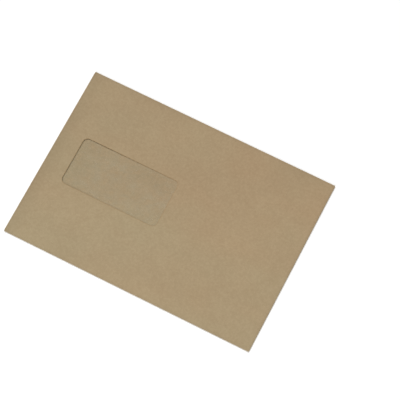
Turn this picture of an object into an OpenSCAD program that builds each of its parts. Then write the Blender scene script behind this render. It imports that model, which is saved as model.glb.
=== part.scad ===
// Kraft paper pocket envelope with a film window. It lies face up, with its
// closure flap folded flat beneath the mouth end.
// X runs along the pocket towards the mouth, Y across it and Z up. The origin
// lies on the surface that the envelope rests on, below the pocket's middle.
// All sizes are millimetres.

/* [Pocket] */
// Length from the closed end's fold to the mouth fold
pocket_length = 229; // [180:1:330]
// Width across the two side folds
pocket_width = 162; // [140:1:240]

/* [Paper] */
// Thickness of the paper
paper_t = 0.12; // [0.08:0.01:0.2]
// Air left inside a pressed side fold
side_fold_gap = 0.14; // [0.11:0.01:0.3]
// Air left between the back panel and the closure flap below it
flap_gap = 0.1; // [0.06:0.01:0.3]
// Stretch at each corner where the side fold is cut away
corner_relief = 1.5; // [1:0.1:4]

/* [Window] */
// Length of the window along the pocket
window_length = 90; // [50:1:110]
// Height of the window across the pocket
window_height = 45; // [25:1:60]
// Distance from the closed end to the window
window_from_end = 21; // [15:1:40]
// Distance from the lower side fold to the window
window_from_side = 60; // [30:1:62]
// Radius of the window's corners
window_corner_r = 4.5; // [1:0.5:12]

/* [Window film] */
// Thickness of the film
film_t = 0.04; // [0.02:0.005:0.06]
// Reach of the film under the paper, all round the window
film_lap = 8; // [7:0.5:12]
// Thickness of the glue that holds the film
film_glue_t = 0.03; // [0.01:0.005:0.04]
// Width of the glue band round the window
film_glue_w = 5; // [3:0.5:5]
// Distance from the window's edge to the glue band
film_glue_margin = 1.5; // [1:0.1:1.9]

/* [Side seams] */
// Width of a side flap, from the side fold to its cut edge
side_flap_w = 17; // [14:1:26]
// Slant of a side flap's end at the closed end, along the pocket
closed_end_slant = 5; // [2:0.5:12]
// Slant of a side flap's end at the mouth, along the pocket
mouth_end_slant = 10; // [8:0.5:16]
// Radius of a side flap's corners
side_flap_corner_r = 4; // [1:0.5:6]
// Distance from a side fold to the back panel's cut edge
back_inset = 1.5; // [1:0.1:2.5]
// Width of the glue line between back panel and side flap
seam_glue_w = 9; // [5:0.5:10]
// Distance from the back panel's cut edge to the glue line
seam_glue_margin = 1; // [0.5:0.1:2]
// Distance from each end of a side flap's cut edge to the glue line
seam_glue_end = 4; // [2:0.5:10]
// Thickness of the glue line
seam_glue_t = 0.03; // [0.01:0.005:0.05]

/* [Throat] */
// Distance from the mouth fold to the back panel's edge, at the middle
throat_depth = 6.5; // [5:0.5:14]
// Distance from the mouth fold to the back panel's edge, at the side seams
throat_side_depth = 3; // [2:0.5:4.5]
// Radius of the back panel's corners at the throat
throat_corner_r = 1.2; // [0.5:0.1:3]

/* [Closure flap] */
// Depth of the flap, from the mouth fold to its edge
flap_depth = 30; // [24:1:60]
// Distance from a side fold to the flap's side, at the mouth fold
flap_inset = 0.6; // [0.3:0.1:2]
// Distance from a side fold to the flap's side, at the flap's edge
flap_taper = 16.5; // [8:0.5:24]
// Radius of the flap's corners
flap_corner_r = 3; // [1:0.5:8]

/* [Gum strip] */
// Width of the gum strip
gum_w = 12.5; // [8:0.5:18]
// Distance from the flap's edge to the gum strip
gum_edge_margin = 1; // [0.5:0.1:3]
// Distance from the corner of the flap's edge to the gum strip's end
gum_end_margin = 5.5; // [3:0.5:12]
// Thickness of the dried gum
gum_t = 0.03; // [0.01:0.005:0.05]

/* [Hidden] */
$fn = 64;

// Steps of the arc at a rounded corner
arc_steps = 10;

paper_colour = "#a9946f";
film_colour = [0.86, 0.88, 0.86, 0.3];
glue_colour = "#d9cfae";
gum_colour = "#856a42";

half_l = pocket_length / 2;
half_w = pocket_width / 2;

// The layers, from the lowest face up
gum_z = paper_t;
back_z = paper_t + flap_gap;
seam_z = back_z + paper_t;
side_z = seam_z + seam_glue_t;
front_z = side_z + paper_t + side_fold_gap;

// Inner radius of each fold, half the height that it bends around
side_fold_r = side_fold_gap / 2;
end_fold_r = (front_z - seam_z) / 2;
mouth_fold_r = (front_z - paper_t) / 2;

// Where the flat panels end and the folds begin
side_y = half_w - side_fold_r - paper_t;
end_x = -half_l + end_fold_r + paper_t;
mouth_x = half_l - mouth_fold_r - paper_t;

// Where a side fold begins and ends along the pocket
side_start_x = -half_l + corner_relief;
side_stop_x = half_l - corner_relief;

// Half widths of the panels that are cut
back_y = half_w - back_inset;
flap_root_y = half_w - flap_inset;
flap_edge_y = half_w - flap_taper;

// Circle of the throat, through its middle and both of its corners
throat_rise = throat_depth - throat_side_depth;
throat_r = (back_y * back_y + throat_rise * throat_rise) / (2 * throat_rise);

// A direction of length one
function unit(v) = v / norm(v);

// The angle from direction a to direction b, the short way round
function turn(a, b) = (b - a + 540) % 360 - 180;

// Points along the arc round the centre c from the point a to the point b
function arc(c, a, b) =
    let (start = atan2(a.y - c.y, a.x - c.x))
    let (sweep = turn(start, atan2(b.y - c.y, b.x - c.x)))
    [
        for (k = [0:arc_steps])
            c + norm(a - c) * [cos(start + sweep * k / arc_steps), sin(start + sweep * k / arc_steps)]
    ];

// The convex corner p between the points before and after it, rounded to the radius r
function corner(before, p, after, r) =
    let (u = unit(before - p))
    let (v = unit(after - p))
    let (half = acos(u * v) / 2)
    arc(p + unit(u + v) * r / sin(half), p + u * r / tan(half), p + v * r / tan(half));

// Convex outline through the points p, with corner i rounded to the radius r[i]
module rounded_outline(p, r) {
    n = len(p);
    polygon([
        for (i = [0:n - 1])
            each r[i] > 0 ? corner(p[(i + n - 1) % n], p[i], p[(i + 1) % n], r[i]) : [p[i]]
    ]);
}

// Rectangle from one corner to the opposite one
module span(from, to) {
    translate(from)
        square(to - from);
}

// A flat layer of thickness t whose lower face lies at height z
module layer(z, t) {
    translate([0, 0, z])
        linear_extrude(height = t)
            children();
}

// Section of a fold round the inner radius r, open towards -X
module fold_section(r) {
    difference() {
        circle(r = r + paper_t);
        circle(r = r);
        translate([-2 * (r + paper_t), -r - paper_t])
            square([2 * (r + paper_t), 2 * (r + paper_t)]);
    }
}

// Fold along Y at the end of a panel that reaches towards +X, width w
module end_fold(r, w) {
    rotate([90, 0, 0])
        translate([0, 0, -w / 2])
            linear_extrude(height = w)
                fold_section(r);
}

// Window opening, or the same outline set back by the distance d
module window_outline(d) {
    x0 = -half_l + window_from_end - d;
    x1 = -half_l + window_from_end + window_length + d;
    y0 = -half_w + window_from_side - d;
    y1 = -half_w + window_from_side + window_height + d;
    r = window_corner_r + d;
    rounded_outline([[x0, y0], [x1, y0], [x1, y1], [x0, y1]], [r, r, r, r]);
}

// Front panel, flat between its folds and square at its four corners
module front_panel() {
    layer(front_z, paper_t)
        difference() {
            union() {
                span([end_x, -side_y], [mouth_x, side_y]);
                span([end_x, -half_w], [side_start_x, half_w]);
                span([side_stop_x, -half_w], [mouth_x, half_w]);
            }
            window_outline(0);
        }
}

// Side fold and the side flap that it turns in beneath the front panel
module side_flap() {
    translate([side_start_x, side_y, front_z - side_fold_r])
        rotate([90, 0, 90])
            linear_extrude(height = side_stop_x - side_start_x)
                fold_section(side_fold_r);
    layer(side_z, paper_t)
        rounded_outline(
            [
                [side_start_x, side_y],
                [side_start_x + closed_end_slant, half_w - side_flap_w],
                [side_stop_x - mouth_end_slant, half_w - side_flap_w],
                [side_stop_x, side_y]
            ],
            [0, side_flap_corner_r, side_flap_corner_r, 0]
        );
}

// Back panel, turned under at the closed end, with its hollow throat edge
module back_panel() {
    translate([end_x, 0, front_z - end_fold_r])
        mirror([1, 0, 0])
            end_fold(end_fold_r, 2 * back_y);
    layer(back_z, paper_t)
        difference() {
            rounded_outline(
                [
                    [end_x, -back_y],
                    [half_l - throat_side_depth, -back_y],
                    [half_l - throat_side_depth, back_y],
                    [end_x, back_y]
                ],
                [0, throat_corner_r, throat_corner_r, 0]
            );
            translate([half_l - throat_depth + throat_r, 0])
                circle(r = throat_r, $fn = 720);
        }
}

// Mouth fold and the closure flap, turned back beneath the back panel
module closure_flap() {
    translate([mouth_x, 0, front_z - mouth_fold_r])
        end_fold(mouth_fold_r, 2 * flap_root_y);
    layer(0, paper_t)
        rounded_outline(
            [
                [mouth_x, flap_root_y],
                [half_l - flap_depth, flap_edge_y],
                [half_l - flap_depth, -flap_edge_y],
                [mouth_x, -flap_root_y]
            ],
            [0, flap_corner_r, flap_corner_r, 0]
        );
}

// The whole envelope but for its film, glue and gum: one cut and folded sheet
module blank() {
    color(paper_colour) {
        front_panel();
        side_flap();
        mirror([0, 1, 0])
            side_flap();
        back_panel();
        closure_flap();
    }
}

// Clear film pane, held to the inside of the front panel round the window
module window_film() {
    x0 = -half_l + window_from_end - film_lap;
    y0 = -half_w + window_from_side - film_lap;
    color(film_colour)
        layer(front_z - film_glue_t - film_t, film_t)
            span([x0, y0], [x0 + window_length + 2 * film_lap, y0 + window_height + 2 * film_lap]);
}

// Glue band between the front panel and the film
module film_glue() {
    color(glue_colour)
        layer(front_z - film_glue_t, film_glue_t)
            difference() {
                window_outline(film_glue_margin + film_glue_w);
                window_outline(film_glue_margin);
            }
}

// Glue line between the back panel and the upper side flap
module seam_glue() {
    inner_y = back_y - seam_glue_margin - seam_glue_w;
    color(glue_colour)
        layer(seam_z, seam_glue_t)
            span(
                [side_start_x + closed_end_slant + seam_glue_end, inner_y],
                [side_stop_x - mouth_end_slant - seam_glue_end, inner_y + seam_glue_w]
            );
}

module seam_glue_upper() {
    seam_glue();
}

module seam_glue_lower() {
    mirror([0, 1, 0])
        seam_glue();
}

// Dried gum on the closure flap's inner face
module gum_strip() {
    x0 = half_l - flap_depth + gum_edge_margin;
    y1 = flap_edge_y - gum_end_margin;
    color(gum_colour)
        layer(gum_z, gum_t)
            span([x0, -y1], [x0 + gum_w, y1]);
}

blank();
window_film();
film_glue();
seam_glue_lower();
seam_glue_upper();
gum_strip();
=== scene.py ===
import math

import bmesh
import bpy
from mathutils import Matrix, Vector, noise


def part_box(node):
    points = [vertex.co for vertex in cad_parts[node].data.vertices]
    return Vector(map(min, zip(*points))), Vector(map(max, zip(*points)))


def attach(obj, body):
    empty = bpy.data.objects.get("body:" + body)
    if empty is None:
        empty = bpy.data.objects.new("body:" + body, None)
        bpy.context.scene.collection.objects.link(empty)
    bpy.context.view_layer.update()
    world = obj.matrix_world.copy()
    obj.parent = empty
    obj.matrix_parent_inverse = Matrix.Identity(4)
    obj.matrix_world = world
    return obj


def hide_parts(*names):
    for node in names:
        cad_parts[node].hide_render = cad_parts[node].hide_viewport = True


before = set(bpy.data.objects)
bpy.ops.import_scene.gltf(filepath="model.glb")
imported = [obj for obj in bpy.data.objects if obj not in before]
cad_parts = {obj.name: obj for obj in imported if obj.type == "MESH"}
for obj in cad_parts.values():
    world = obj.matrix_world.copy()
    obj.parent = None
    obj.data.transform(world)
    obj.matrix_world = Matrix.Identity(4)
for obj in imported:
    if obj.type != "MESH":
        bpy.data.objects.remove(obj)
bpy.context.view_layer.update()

bpy.context.scene.view_settings.view_transform = "Standard"

MM = 0.001

# The folded sheet, and the film behind its window
sheet_low, sheet_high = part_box("blank")
film_low, film_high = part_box("window_film")

# The window's opening, inside the edge of its film
FILM_LAP = 8 * MM
WINDOW_RADIUS = 4.5 * MM
window_middle = (film_low + film_high) / 2
window_half = (film_high - film_low) / 2 - Vector((FILM_LAP, FILM_LAP, 0))

# Depth of the closure flap, which is folded beneath the mouth, and width of a side flap
CLOSURE_FLAP = 30 * MM
SIDE_FLAP = 17 * MM


# Camera

def aimed(place, target, roll=0.0):
    """Place and turn of a camera or lamp that faces target, rolled by degrees about its line of sight."""
    turn = (Vector(target) - Vector(place)).to_track_quat("-Z", "Y").to_matrix()
    turn = turn @ Matrix.Rotation(math.radians(roll), 3, "Z")
    return Matrix.Translation(place) @ turn.to_4x4()


def look(eye, target, roll, lens):
    """The camera, with the length of its lens in millimetres."""
    data = bpy.data.cameras.new("camera")
    data.lens = lens
    data.sensor_width = 36
    data.sensor_fit = "HORIZONTAL"
    data.clip_start = 0.05
    data.clip_end = 50
    camera = bpy.data.objects.new("camera", data)
    bpy.context.scene.collection.objects.link(camera)
    camera.matrix_world = aimed(eye, target, roll)
    bpy.context.scene.camera = camera


look(eye=(0.2757, -0.4693, 1.5471), target=(0.0189, 0.0179, 0.00075), roll=-0.6, lens=176.2)


# Stage and light

# The floor lies a hair below the envelope, so that no face of one lies in a face of the other
FLOOR_LEVEL = -0.02 * MM


def seen_directly(nodes, links):
    """1 for the rays of the camera, of mirrors and of clear materials, 0 for light that falls on things."""
    path = nodes.new("ShaderNodeLightPath")
    total = path.outputs["Is Camera Ray"]
    for kind in ("Is Glossy Ray", "Is Transmission Ray"):
        larger = nodes.new("ShaderNodeMath")
        larger.operation = "MAXIMUM"
        links.new(total, larger.inputs[0])
        links.new(path.outputs[kind], larger.inputs[1])
        total = larger.outputs[0]
    return total


def floor_white(paint_tone, lift):
    """Pale paint that keeps the shadow on it, lifted to white where it is seen directly."""
    material = bpy.data.materials.new("floor_white")
    material.use_nodes = True
    nodes, links = material.node_tree.nodes, material.node_tree.links
    nodes.clear()
    paint = nodes.new("ShaderNodeBsdfDiffuse")
    paint.inputs["Color"].default_value = (paint_tone, paint_tone, paint_tone, 1)
    glow = nodes.new("ShaderNodeEmission")
    share = nodes.new("ShaderNodeMath")
    share.operation = "MULTIPLY"
    share.inputs[1].default_value = lift
    both = nodes.new("ShaderNodeAddShader")
    out = nodes.new("ShaderNodeOutputMaterial")
    links.new(seen_directly(nodes, links), share.inputs[0])
    links.new(share.outputs[0], glow.inputs["Strength"])
    links.new(paint.outputs[0], both.inputs[0])
    links.new(glow.outputs[0], both.inputs[1])
    links.new(both.outputs[0], out.inputs["Surface"])
    return material


def stage_floor(radius, material):
    """A plain round floor."""
    mesh = bpy.data.meshes.new("floor")
    bm = bmesh.new()
    bmesh.ops.create_circle(bm, cap_ends=True, segments=96, radius=radius,
                            matrix=Matrix.Translation((0, 0, FLOOR_LEVEL)))
    bm.to_mesh(mesh)
    bm.free()
    mesh.materials.append(material)
    floor = bpy.data.objects.new("floor", mesh)
    bpy.context.scene.collection.objects.link(floor)


def sky(level, colour):
    """Even soft light from all round, white where it is seen directly."""
    world = bpy.data.worlds.new("studio")
    bpy.context.scene.world = world
    world.use_nodes = True
    nodes, links = world.node_tree.nodes, world.node_tree.links
    nodes.clear()
    mix = nodes.new("ShaderNodeMixShader")
    out = nodes.new("ShaderNodeOutputWorld")
    for k, (tint, strength) in enumerate(((colour, level), ((1, 1, 1), 1)), start=1):
        light = nodes.new("ShaderNodeBackground")
        light.inputs["Color"].default_value = (*tint, 1)
        light.inputs["Strength"].default_value = strength
        links.new(light.outputs[0], mix.inputs[k])
    links.new(seen_directly(nodes, links), mix.inputs["Fac"])
    links.new(mix.outputs[0], out.inputs["Surface"])


def softbox(name, place, size, level, colour):
    """A round soft lamp that faces the envelope and lights its middle to the given level."""
    away = Vector(place).length
    data = bpy.data.lights.new(name, "AREA")
    data.shape = "DISK"
    data.size = size
    # the lamp and the matt sheet each spread the light by pi, and the sheet takes it at a slant
    data.energy = level * (math.pi * away) ** 2 * away / place[2]
    data.color = colour
    lamp = bpy.data.objects.new(name, data)
    bpy.context.scene.collection.objects.link(lamp)
    lamp.matrix_world = aimed(place, (0, 0, 0))


stage_floor(radius=4, material=floor_white(paint_tone=0.9, lift=0.2))

# The three levels add up to about 1, at which a colour shows as it is written
sky(level=0.38, colour=(1.05, 1.0, 0.92))
softbox("key", place=(-6.2, 4.6, 5.4), size=3.0, level=0.43, colour=(0.97, 1.0, 1.04))
softbox("fill", place=(0.03, -0.82, 0.47), size=0.5, level=0.20, colour=(1.0, 1.0, 1.0))


# Finishes

# The middle level of cloudy noise, and how far a fibre reaches to either side of it
NOISE_MIDDLE = 0.5
FIBRE_BAND = 0.05

# The soft edge of a fleck, as a share of its size
FLECK_EDGE = 0.3


class Finish:
    """A material and short ways to add and join its nodes."""

    def __init__(self, name):
        self.material = bpy.data.materials.new(name)
        self.material.use_nodes = True
        self.nodes = self.material.node_tree.nodes
        self.links = self.material.node_tree.links
        self.nodes.clear()
        self.shader = self.nodes.new("ShaderNodeBsdfPrincipled")
        out = self.nodes.new("ShaderNodeOutputMaterial")
        self.links.new(self.shader.outputs[0], out.inputs["Surface"])
        self.place = self.nodes.new("ShaderNodeTexCoord").outputs["Object"]

    def put(self, socket, value):
        """A number, a colour or another node's output into a socket."""
        if isinstance(value, (int, float)):
            socket.default_value = value
        elif isinstance(value, tuple):
            socket.default_value = (*value, 1)
        else:
            self.links.new(value, socket)

    def set(self, **values):
        """Values into the shader's own sockets, whose names have _ in place of a space."""
        for name, value in values.items():
            self.put(self.shader.inputs[name.replace("_", " ")], value)

    def stretched(self, size, turn=0.0, shift=(0, 0, 0)):
        """The piece's coordinates in steps of the given size, turned about Z by degrees and set off."""
        mapping = self.nodes.new("ShaderNodeMapping")
        mapping.vector_type = "TEXTURE"
        mapping.inputs["Location"].default_value = shift
        mapping.inputs["Rotation"].default_value = (0, 0, math.radians(turn))
        mapping.inputs["Scale"].default_value = size
        self.put(mapping.inputs["Vector"], self.place)
        return mapping.outputs[0]

    def along(self, axis):
        """The distance along an axis, from the pocket's middle or from the table."""
        split = self.nodes.new("ShaderNodeSeparateXYZ")
        self.put(split.inputs[0], self.place)
        return split.outputs[axis]

    def from_window(self):
        """The distance to the window's edge, less than 0 inside the window."""
        past = []
        for axis in (0, 1):
            away = self.math("ABSOLUTE", self.math("SUBTRACT", self.along(axis), window_middle[axis]))
            past.append(self.math("SUBTRACT", away, window_half[axis] - WINDOW_RADIUS))
        squares = [self.math("POWER", self.math("MAXIMUM", side, 0), 2) for side in past]
        corner = self.math("POWER", self.math("ADD", *squares), 0.5)
        straight = self.math("MINIMUM", self.math("MAXIMUM", *past), 0)
        return self.math("SUBTRACT", self.math("ADD", corner, straight), WINDOW_RADIUS)

    def noise(self, at, scale=1, detail=2.0, roughness=0.5):
        """Cloudy noise from 0 to 1, with as many clouds to one unit of the coordinates as scale says."""
        texture = self.nodes.new("ShaderNodeTexNoise")
        self.put(texture.inputs["Scale"], scale)
        self.put(texture.inputs["Detail"], detail)
        self.put(texture.inputs["Roughness"], roughness)
        self.put(texture.inputs["Vector"], at)
        return texture.outputs["Fac"]

    def flecks(self, scale, share, size):
        """Scattered round flecks, 1 inside and 0 outside, in a share of the cells of the given scale."""
        texture = self.nodes.new("ShaderNodeTexVoronoi")
        self.put(texture.inputs["Scale"], scale)
        self.put(texture.inputs["Vector"], self.place)
        chance = self.nodes.new("ShaderNodeSeparateColor")
        self.put(chance.inputs[0], texture.outputs["Color"])
        radius = self.ramp(chance.outputs[0], (1 - share, 1), (0, size))
        outside = self.math("SUBTRACT", texture.outputs["Distance"], radius)
        return self.ramp(outside, (-FLECK_EDGE * size, 0), (1, 0))

    def hairs(self, length, width, turn):
        """Fine fibres of about the given length and width, where a stretched noise is at its middle."""
        field = self.noise(self.stretched((length, width, length), turn), detail=1)
        off_middle = self.math("ABSOLUTE", self.math("SUBTRACT", field, NOISE_MIDDLE))
        return self.ramp(off_middle, (0, FIBRE_BAND), (1, 0))

    def ramp(self, value, span, to=(0, 1)):
        """The value carried from one span to another, held at its ends."""
        node = self.nodes.new("ShaderNodeMapRange")
        for name, number in zip(("From Min", "From Max", "To Min", "To Max"), (*span, *to)):
            node.inputs[name].default_value = number
        self.put(node.inputs["Value"], value)
        return node.outputs["Result"]

    def math(self, operation, *values):
        """One step of arithmetic."""
        node = self.nodes.new("ShaderNodeMath")
        node.operation = operation
        for socket, value in zip(node.inputs, values):
            self.put(socket, value)
        return node.outputs[0]

    def blend(self, share, a, b, how="MIX"):
        """From colour a to colour b as the share goes from 0 to 1."""
        node = self.nodes.new("ShaderNodeMix")
        node.data_type = "RGBA"
        node.blend_type = how
        for k, value in ((0, share), (6, a), (7, b)):
            self.put(node.inputs[k], value)
        return node.outputs[2]

    def over(self, base, colour, mask, strength):
        """The base with a colour laid over it where the mask is 1, as strongly as given."""
        return self.blend(self.math("MULTIPLY", mask, strength), base, colour)

    def bump(self, height, distance, strength, under=None):
        """Bumps of the given height on the surface, or on top of an earlier bump."""
        node = self.nodes.new("ShaderNodeBump")
        node.inputs["Distance"].default_value = distance
        node.inputs["Strength"].default_value = strength
        self.put(node.inputs["Height"], height)
        if under is not None:
            self.put(node.inputs["Normal"], under)
        return node.outputs[0]


# Colours of the kraft paper; the last two are for painted shade, along the window's cut edge and towards
# the folds and the closed end
PALE_STOCK = (0.418, 0.319, 0.191)
DEEP_STOCK = (0.366, 0.268, 0.155)
DEEP_GRAIN = (0.362, 0.266, 0.155)
PALE_FIBRE = (0.50, 0.38, 0.24)
DARK_FIBRE = (0.28, 0.195, 0.105)
DARK_FLECK = (0.17, 0.11, 0.06)
WINDOW_EDGE_SHADE = (0.33, 0.17, 0.045)
BLACK = (0, 0, 0)

# Levels of the noise at which the clouds, the grain and the patches of pale fibres begin and are full
CLOUD_LEVELS = (0.27, 0.73)
GRAIN_LEVELS = (0.25, 0.75)
PATCH_LEVELS = (0.42, 0.62)

# How strongly the grain, the fibres and the flecks show
GRAIN_STRENGTH = 0.5
PALE_FIBRE_STRENGTH = 0.4
DARK_FIBRE_STRENGTH = 0.35
FLECK_STRENGTH = 0.55

# Factors on the paper's colour, between which the sheet drifts in hue and in painted light and shade
COOL = (0.975, 1.022, 1.035)
WARM = (1.015, 0.975, 0.965)
DIM = (0.98, 0.98, 0.98)
BRIGHT = (1.03, 1.03, 1.03)

# How much warmer the sheet gets towards its mouth and its upper fold, a painted drift in the light's
# colour, and in its clouds of hue
WARMER_AT_MOUTH = 0.4
WARMER_AT_TOP = 0.6
WARMER_IN_CLOUDS = 0.34

# The broad drifts of hue and of painted light and shade, and the places of the endless noise that the sheet
# shows
DRIFT_SIZE = (90 * MM, 50 * MM, 1)
DRIFT_LEVELS = (0.3, 0.7)
HUE_PLACE = (-3.172, -0.961, 0)
PAINTED_LIGHT_PLACE = (-2.804, -1.574, 0)

# Distances from a fold over which the painted shade just inside it begins and ends, and how dark it is
FOLD_SHADE_BEGINS = (0.4 * MM, 1.0 * MM)
FOLD_SHADE_ENDS = (1.3 * MM, 2.0 * MM)
FOLD_SHADE_DEPTH = 0.06

# Reach of the painted shade at the closed end and at the upper fold, and how dark it is
END_REACH = 14 * MM
END_SHADE = 0.08
TOP_REACH = 9 * MM
TOP_SHADE = 0.03

# Distances from the opening over which the painted shade along its cut edge fades, how strong it is,
# and the heights over which it begins, so that the panels below the front one stay free of it
EDGE_SHADE_FADES = (0.15 * MM, 0.5 * MM)
EDGE_SHADE_STRENGTH = 0.38
EDGE_SHADE_HEIGHTS = (0.26 * MM, 0.30 * MM)


def paper_fibres(paper):
    """Where the paper's pale and its dark fibres show, each in patches of its own."""
    patches = paper.ramp(paper.noise(paper.place, scale=500, detail=2), PATCH_LEVELS)
    long_pale = paper.hairs(length=2.6 * MM, width=0.30 * MM, turn=12)
    short_pale = paper.hairs(length=1.8 * MM, width=0.24 * MM, turn=-35)
    dark = paper.hairs(length=2.2 * MM, width=0.28 * MM, turn=58)
    pale_shown = paper.math("MULTIPLY", patches, paper.math("MAXIMUM", long_pale, short_pale))
    dark_shown = paper.math("MULTIPLY", paper.math("SUBTRACT", 1, patches), dark)
    return pale_shown, dark_shown


def paper_drift_and_painted_light(paper):
    """Broad clouds of hue and of painted light and shade, a little warmer towards the mouth and the upper
    fold, a painted drift in the light's colour.
    """
    at_mouth = paper.ramp(paper.along(0), (sheet_low.x, sheet_high.x), (0, WARMER_AT_MOUTH))
    at_top = paper.ramp(paper.along(1), (sheet_low.y, sheet_high.y), (0, WARMER_AT_TOP))
    hue_noise = paper.noise(paper.stretched(DRIFT_SIZE, shift=HUE_PLACE))
    in_clouds = paper.ramp(hue_noise, DRIFT_LEVELS, (-WARMER_IN_CLOUDS, WARMER_IN_CLOUDS))
    warmth = paper.math("ADD", paper.math("ADD", at_mouth, at_top), in_clouds)
    # broad patches of painted light and shade
    painted_light_noise = paper.noise(paper.stretched(DRIFT_SIZE, turn=15, shift=PAINTED_LIGHT_PLACE))
    light = paper.ramp(painted_light_noise, DRIFT_LEVELS)
    return paper.blend(1, paper.blend(warmth, COOL, WARM), paper.blend(light, DIM, BRIGHT), "MULTIPLY")


def painted_paper_shade(paper):
    """Painted shade: how much darker the sheet is towards its closed end and upper fold, and just inside
    every fold.
    """
    from_end = paper.math("SUBTRACT", paper.along(0), sheet_low.x)
    from_mouth = paper.math("SUBTRACT", sheet_high.x, paper.along(0))
    from_top = paper.math("SUBTRACT", sheet_high.y, paper.along(1))
    from_bottom = paper.math("SUBTRACT", paper.along(1), sheet_low.y)
    lengthwise = paper.math("MINIMUM", from_end, from_mouth)
    crosswise = paper.math("MINIMUM", from_top, from_bottom)
    from_fold = paper.math("MINIMUM", lengthwise, crosswise)
    begun = paper.ramp(from_fold, FOLD_SHADE_BEGINS)
    painted_fold_shade = paper.math("MULTIPLY", begun, paper.ramp(from_fold, FOLD_SHADE_ENDS, (FOLD_SHADE_DEPTH, 0)))
    painted_end_shade = paper.ramp(from_end, (0, END_REACH), (END_SHADE, 0))
    painted_top_shade = paper.ramp(from_top, (0, TOP_REACH), (TOP_SHADE, 0))
    return paper.math("ADD", paper.math("ADD", painted_end_shade, painted_top_shade), painted_fold_shade)


def painted_window_edge_shade(paper):
    """Where the painted shade along the window's cut edge shows, on the front panel alone."""
    beside = paper.ramp(paper.from_window(), EDGE_SHADE_FADES, (EDGE_SHADE_STRENGTH, 0))
    return paper.math("MULTIPLY", beside, paper.ramp(paper.along(2), EDGE_SHADE_HEIGHTS))


def kraft_paper():
    """Unbleached kraft: cloudy brown stock with pale and dark fibres, a few flecks and a fine tooth."""
    paper = Finish("kraft_paper")
    clouds = paper.noise(paper.place, scale=42, detail=6, roughness=0.88)
    grain = paper.noise(paper.place, scale=330, detail=3, roughness=0.7)
    flecks = paper.flecks(scale=480, share=0.22, size=0.13)
    pale_fibres, dark_fibres = paper_fibres(paper)
    base = paper.blend(paper.ramp(clouds, CLOUD_LEVELS), PALE_STOCK, DEEP_STOCK)
    base = paper.blend(paper.ramp(grain, GRAIN_LEVELS, (0, GRAIN_STRENGTH)), base, DEEP_GRAIN)
    base = paper.over(base, PALE_FIBRE, pale_fibres, PALE_FIBRE_STRENGTH)
    base = paper.over(base, DARK_FIBRE, dark_fibres, DARK_FIBRE_STRENGTH)
    base = paper.over(base, DARK_FLECK, flecks, FLECK_STRENGTH)
    # the painted drift in light and in the light's colour, with the paper's own clouds of hue
    base = paper.blend(1, base, paper_drift_and_painted_light(paper), "MULTIPLY")
    # painted shade towards the closed end and the upper fold and just inside every fold, laid on as black
    base = paper.blend(painted_paper_shade(paper), base, BLACK)
    # painted shade along the window's cut edge, in a warm dark brown
    base = paper.blend(painted_window_edge_shade(paper), base, WINDOW_EDGE_SHADE)
    paper.set(Base_Color=base, Roughness=0.82, Specular_IOR_Level=0.25)
    fine_noise = paper.noise(paper.place, scale=2600, detail=3, roughness=0.65)
    tooth = paper.bump(fine_noise, distance=0.03 * MM, strength=0.6)
    raised = paper.math("ADD", pale_fibres, grain)
    paper.set(Normal=paper.bump(raised, distance=0.02 * MM, strength=0.5, under=tooth))
    return paper.material


# Colours of the film's haze, which also stands for a painted reflection where the film is seen flatter, and
# the size, place in the endless noise and levels of its smears
DIM_HAZE = (0.44, 0.49, 0.37)
PALE_HAZE = (0.73, 0.76, 0.62)
SMEAR_SIZE = (45 * MM, 17 * MM, 1)
SMEAR_PLACE = (-2.146, -0.400, 0)
SMEAR_LEVELS = (0.35, 0.65)

# Small wipes that veil the film: their size, their levels, and how much they hide at least and at most
WIPE_SIZE = (7.5 * MM, 5.5 * MM, 1)
WIPE_LEVELS = (0.3, 0.7)
VEIL = (0.006, 0.062)

# How much the film shows, as real gloss and as its haze colour for a painted reflection: this share where
# it is seen along its surface, falling off with this power
GLOSS_AND_PAINTED_REFLECTION_MOST = 0.87
GLOSS_AND_PAINTED_REFLECTION_POWER = 5

# The film's slow waves
FILM_WAVE_SIZE = (25 * MM, 71 * MM, 1)


def clear_film():
    """Clear plastic film: it shows more the flatter it is seen, with real gloss and its haze colour as a
    painted reflection, and its haze has smears and wipes.
    """
    film = Finish("window_film")
    smears = film.noise(film.stretched(SMEAR_SIZE, shift=SMEAR_PLACE), detail=2)
    haze = film.blend(film.ramp(smears, SMEAR_LEVELS), DIM_HAZE, PALE_HAZE)
    wipes = film.noise(film.stretched(WIPE_SIZE, turn=25), detail=2)
    veil = film.ramp(wipes, WIPE_LEVELS, VEIL)
    tilt = film.nodes.new("ShaderNodeLayerWeight").outputs["Facing"]
    # real gloss, and the haze colour as a painted reflection, show more as the film is seen flatter
    gloss_and_painted_reflection = film.math("MULTIPLY", film.math("POWER", tilt, GLOSS_AND_PAINTED_REFLECTION_POWER), GLOSS_AND_PAINTED_REFLECTION_MOST)
    shown = film.math("ADD", veil, gloss_and_painted_reflection)
    film.set(Base_Color=haze, Roughness=0.10, Specular_IOR_Level=0.2, Alpha=shown)
    slow_waves = film.noise(film.stretched(FILM_WAVE_SIZE, turn=8), detail=1)
    film.set(Normal=film.bump(slow_waves, distance=0.2 * MM, strength=0.4))
    return film.material


DRIED_GLUE = (0.62, 0.56, 0.40)


def dried_glue():
    """Pale dried glue with a faint grain."""
    glue = Finish("dried_glue")
    glue.set(Base_Color=DRIED_GLUE, Roughness=0.4)
    grain = glue.noise(glue.place, scale=500, detail=2)
    glue.set(Normal=glue.bump(grain, distance=0.02 * MM, strength=0.5))
    return glue.material


DEEP_GUM = (0.20, 0.125, 0.045)
PALE_GUM = (0.27, 0.17, 0.065)
STREAK_SIZE = (1.1 * MM, 8.3 * MM, 1)


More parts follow.
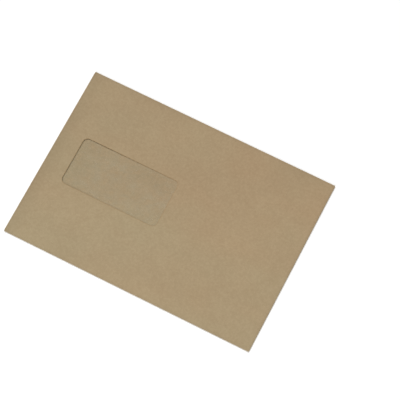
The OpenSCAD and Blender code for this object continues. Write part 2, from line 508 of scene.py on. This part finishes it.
def dried_gum():
    """Brown dried gum with streaks along its strip."""
    gum = Finish("dried_gum")
    streaks = gum.noise(gum.stretched(STREAK_SIZE), detail=2)
    gum.set(Base_Color=gum.blend(streaks, DEEP_GUM, PALE_GUM), Roughness=0.35)
    gum.set(Normal=gum.bump(streaks, distance=0.02 * MM, strength=0.5))
    return gum.material


# The finish of each material slot
finishes = {
    "kraft_paper": kraft_paper(),
    "window_film": clear_film(),
    "dried_glue": dried_glue(),
    "dried_gum": dried_gum(),
}


# The sheet at rest

# Heights between which a layer belongs to the flap or the back, and to the back or the front
FLAP_TO_BACK = (0.16 * MM, 0.22 * MM)
BACK_TO_FRONT = (0.49 * MM, 0.56 * MM)

# Distances from the closed end, a side fold and the mouth over which the back panel comes free
BACK_FREE_END = (0.4 * MM, 13 * MM)
BACK_FREE_SIDE = (0.2 * MM, 14 * MM)
BACK_FREE_MOUTH = (0, 10 * MM)

# Millimetres that the back panel drops to the table, is held up over the closure flap, and waves
BACK_DROP = 0.218
FLAP_LIFT = 0.17
BACK_WAVES = 0.008

# Places along the pocket between which the back panel rises over the closure flap
FLAP_EDGE = sheet_high.x - CLOSURE_FLAP
BACK_RISES = (FLAP_EDGE - 170 * MM, FLAP_EDGE - 30 * MM)

# Distances from the closed end, a side fold and the mouth over which the front panel comes free
FRONT_FREE_END = (0.4 * MM, 9 * MM)
FRONT_FREE_SIDE = (0.2 * MM, 8 * MM)
FRONT_FREE_MOUTH = (0.4 * MM, 9 * MM)

# Millimetres that the front panel dips: all over, between the side flaps' edges, behind the closed
# end, in its slack middle and in the hollow of its upper half, and its waves
FRONT_DIP = 0.02
STEP_DIP = 0.035
DITCH_DIP = 0.06
SLACK_DIP = 0.13
HOLLOW_DIP = 0.11
FRONT_WAVES = 0.035

# Lengths of the waves in the back panel and in the front panel
BACK_WAVE_LENGTH = 60 * MM
FRONT_WAVE_LENGTH = 48 * MM

# Distances from a side fold over which the step at the side flap's edge begins
STEP_BEGINS = (SIDE_FLAP - 2 * MM, SIDE_FLAP + 2 * MM)

# Distances from the closed end over which the ditch ends, and the slack and the hollow begin and
# fade, and the share of each that fades
DITCH_ENDS = (11 * MM, 20 * MM)
SLACK_BEGINS = (40 * MM, 100 * MM)
SLACK_FADES = (110 * MM, 190 * MM)
SLACK_LOST = 0.75
HOLLOW_BEGINS = (30 * MM, 95 * MM)
HOLLOW_FADES = (120 * MM, 190 * MM)
HOLLOW_LOST = 0.8

# Distances above the pocket's middle and below its upper fold over which the hollow begins
HOLLOW_ABOVE_MIDDLE = (-14 * MM, 24 * MM)
HOLLOW_BELOW_TOP = (10 * MM, 50 * MM)

# Distances from the film's ends and sides over which it begins to sag
FILM_FREE_END = (9 * MM, 25 * MM)
FILM_FREE_SIDE = (9 * MM, 19 * MM)

# Sag and waves of the film in millimetres, and how many waves lie in a metre along and across
FILM_SAG = 0.05
FILM_WAVES = 0.02
FILM_WAVES_ALONG = 60
FILM_WAVES_ACROSS = 25


def ease(value, span):
    """From 0 at the start of the span to 1 at its end, level at both."""
    start, stop = span
    share = min(max((value - start) / (stop - start), 0.0), 1.0)
    return share * share * (3 - 2 * share)


def waves(x, y, seed):
    """Slow waves of a sheet, from -1 to 1, as long as one unit of x and y."""
    return noise.noise(Vector((x, y, seed)))


def insets(x, y):
    """Distances of a point from the closed end, from the nearer side fold and from the mouth."""
    return x - sheet_low.x, min(y - sheet_low.y, sheet_high.y - y), sheet_high.x - x


def back_drop(x, y):
    """Millimetres that the back panel sinks: down to the table, but not over the closure flap."""
    from_end, from_side, from_mouth = insets(x, y)
    free = ease(from_end, BACK_FREE_END) * ease(from_side, BACK_FREE_SIDE)
    free *= ease(from_mouth, BACK_FREE_MOUTH)
    lift = FLAP_LIFT * ease(x, BACK_RISES)
    wavy = BACK_WAVES * (1 - waves(x / BACK_WAVE_LENGTH, y / BACK_WAVE_LENGTH, seed=0.3))
    return free * (BACK_DROP - lift - wavy)


def front_drop(x, y):
    """Millimetres that the front panel dips: behind its folds, between the side flaps and in waves."""
    from_end, from_side, from_mouth = insets(x, y)
    free = ease(from_end, FRONT_FREE_END) * ease(from_side, FRONT_FREE_SIDE)
    free *= ease(from_mouth, FRONT_FREE_MOUTH)
    step = STEP_DIP * ease(from_side, STEP_BEGINS)
    ditch = DITCH_DIP * (1 - ease(from_end, DITCH_ENDS))
    slack = ease(from_end, SLACK_BEGINS) * (1 - SLACK_LOST * ease(from_end, SLACK_FADES))
    hollow = HOLLOW_DIP * ease(from_end, HOLLOW_BEGINS) * ease(y, HOLLOW_ABOVE_MIDDLE)
    hollow *= ease(sheet_high.y - y, HOLLOW_BELOW_TOP)
    hollow *= 1 - HOLLOW_LOST * ease(from_end, HOLLOW_FADES)
    wavy = FRONT_WAVES * waves(x / FRONT_WAVE_LENGTH, y / FRONT_WAVE_LENGTH, seed=2.1)
    return free * (FRONT_DIP + step + ditch + SLACK_DIP * slack + hollow + wavy)


def sunk(x, y, z):
    """Drop of a point of the flat stack as the empty envelope settles on the table."""
    front_share = ease(z, BACK_TO_FRONT)
    drop = back_drop(x, y) * (1 - front_share) + front_drop(x, y) * front_share
    return MM * drop * ease(z, FLAP_TO_BACK)


def film_sag(x, y):
    """Sag of the film inside the window, with its faint waves."""
    free = ease(x - film_low.x, FILM_FREE_END) * ease(film_high.x - x, FILM_FREE_END)
    free *= ease(y - film_low.y, FILM_FREE_SIDE) * ease(film_high.y - y, FILM_FREE_SIDE)
    wavy = FILM_WAVES * waves(x * FILM_WAVES_ALONG, y * FILM_WAVES_ACROSS, seed=4.2)
    return free * MM * (FILM_SAG + wavy)


# Distance from the sheet's edges up to which it is sliced twice as closely
CLOSE_SLICES = 14 * MM

# Points nearer than this are one point, and a slice this near to a point goes through it
SAME_POINT = 0.001 * MM
SLICE_REACH = 0.01 * MM

# Faces within this angle lie in one plane, and an edge of more than this angle stays sharp
SAME_PLANE = math.radians(0.2)
SHARP_EDGE = math.radians(40)


def slices(low, high, step):
    """Places to slice between low and high, twice as close near both ends."""
    at, places = low, []
    while at < high:
        near_edge = at < low + CLOSE_SLICES or at >= high - CLOSE_SLICES
        at += step / 2 if near_edge else step
        places.append(at)
    return places[:-1]


def sliced(node_name, step):
    """The node's own shape, with slices a step apart along and across the pocket."""
    bm = bmesh.new()
    bm.from_mesh(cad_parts[node_name].data)
    bmesh.ops.remove_doubles(bm, verts=bm.verts, dist=SAME_POINT)
    bmesh.ops.dissolve_limit(bm, angle_limit=SAME_PLANE, verts=bm.verts, edges=bm.edges)
    for axis in (0, 1):
        way = Vector((axis == 0, axis == 1, 0))
        for place in slices(sheet_low[axis], sheet_high[axis], step):
            everything = bm.verts[:] + bm.edges[:] + bm.faces[:]
            bmesh.ops.bisect_plane(bm, geom=everything, dist=SLICE_REACH,
                                   plane_co=way * place, plane_no=way)
    return bm


def laid_down(node_name, piece_name, slot, step, sag=None):
    """The node's own shape, settled to the way the empty envelope lies."""
    bm = sliced(node_name, step)
    for point in bm.verts:
        x, y, z = point.co
        point.co.z -= sunk(x, y, z) + (sag(x, y) if sag else 0)
    bmesh.ops.triangulate(bm, faces=[face for face in bm.faces if len(face.verts) > 4])
    for face in bm.faces:
        face.smooth = True
    mesh = bpy.data.meshes.new(piece_name)
    bm.to_mesh(mesh)
    bm.free()
    mesh.set_sharp_from_angle(angle=SHARP_EDGE)
    mesh.materials.append(finishes[slot])
    piece = bpy.data.objects.new(piece_name, mesh)
    bpy.context.scene.collection.objects.link(piece)
    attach(piece, "root")
    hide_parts(node_name)


laid_down("blank", "folded_sheet", "kraft_paper", step=4 * MM)
laid_down("window_film", "film_pane", "window_film", step=2 * MM, sag=film_sag)
laid_down("film_glue", "film_glue_band", "dried_glue", step=4 * MM)
laid_down("seam_glue_lower", "seam_line_lower", "dried_glue", step=4 * MM)
laid_down("seam_glue_upper", "seam_line_upper", "dried_glue", step=4 * MM)
laid_down("gum_strip", "gum_band", "dried_gum", step=4 * MM)
